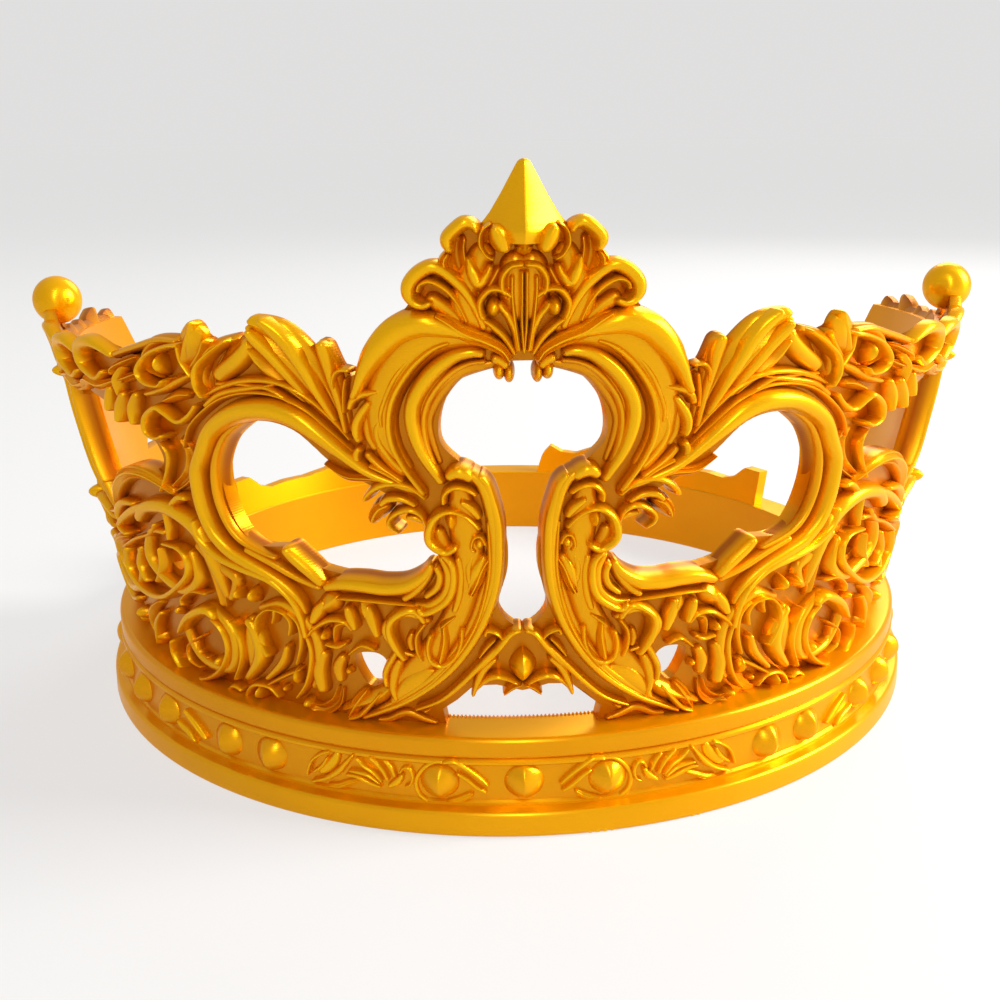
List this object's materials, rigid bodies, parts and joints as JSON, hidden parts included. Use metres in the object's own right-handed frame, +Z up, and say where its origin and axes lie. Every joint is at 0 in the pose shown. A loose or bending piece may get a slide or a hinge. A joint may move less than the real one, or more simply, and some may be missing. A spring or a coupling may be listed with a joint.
{
  "type": "printed openwork crown",
  "caption": "Costume crown in one piece: a round moulded band carries a leaning front wall of pierced scrolls, a spike and two balls, with an open back.",
  "frame": {"origin": "centre of the head opening, at the underside of the band", "axes": "+Z up along the head opening, -Y to the front spike, X across between the two balls"},
  "size_m": [0.1884, 0.1915, 0.111],
  "materials": {
    "gold_plastic": "silk gold printed plastic with fine layer lines"
  },
  "bodies": {
    "root": {"crown": "gold_plastic"}
  },
  "joints": []
}
